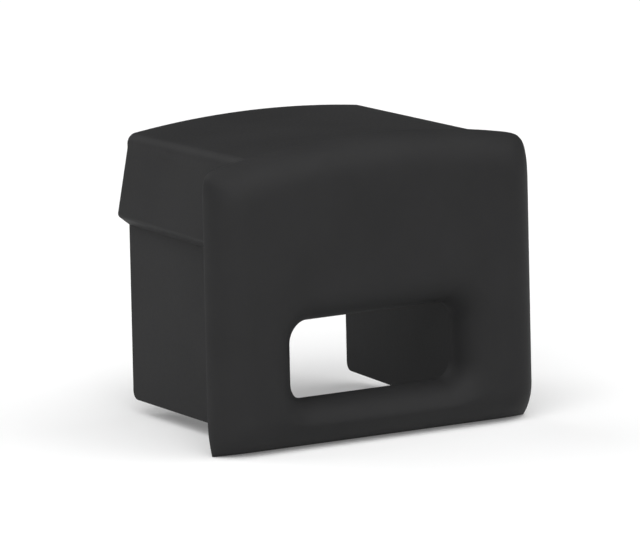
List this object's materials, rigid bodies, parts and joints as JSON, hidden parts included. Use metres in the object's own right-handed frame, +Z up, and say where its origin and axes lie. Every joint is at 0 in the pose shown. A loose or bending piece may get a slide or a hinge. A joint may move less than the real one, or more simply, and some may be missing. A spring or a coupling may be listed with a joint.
{
  "type": "profile end cap",
  "caption": "Moulded end cap for a light-strip channel: cushion-shaped face plate with a cable slot, and a short open-backed hood with snap ribs that pushes into the channel.",
  "frame": {"origin": "middle of the face plate's lower edge, on the seat plane where the plate stops against the end of the channel", "axes": "+X across the cap, +Y into the channel along the hood, +Z up towards the arched top"},
  "size_m": [0.0174, 0.0129, 0.0145],
  "materials": {
    "black_plastic": "satin black moulded plastic with a very fine even grain"
  },
  "bodies": {
    "root": {"end_cap": "black_plastic"}
  },
  "joints": []
}
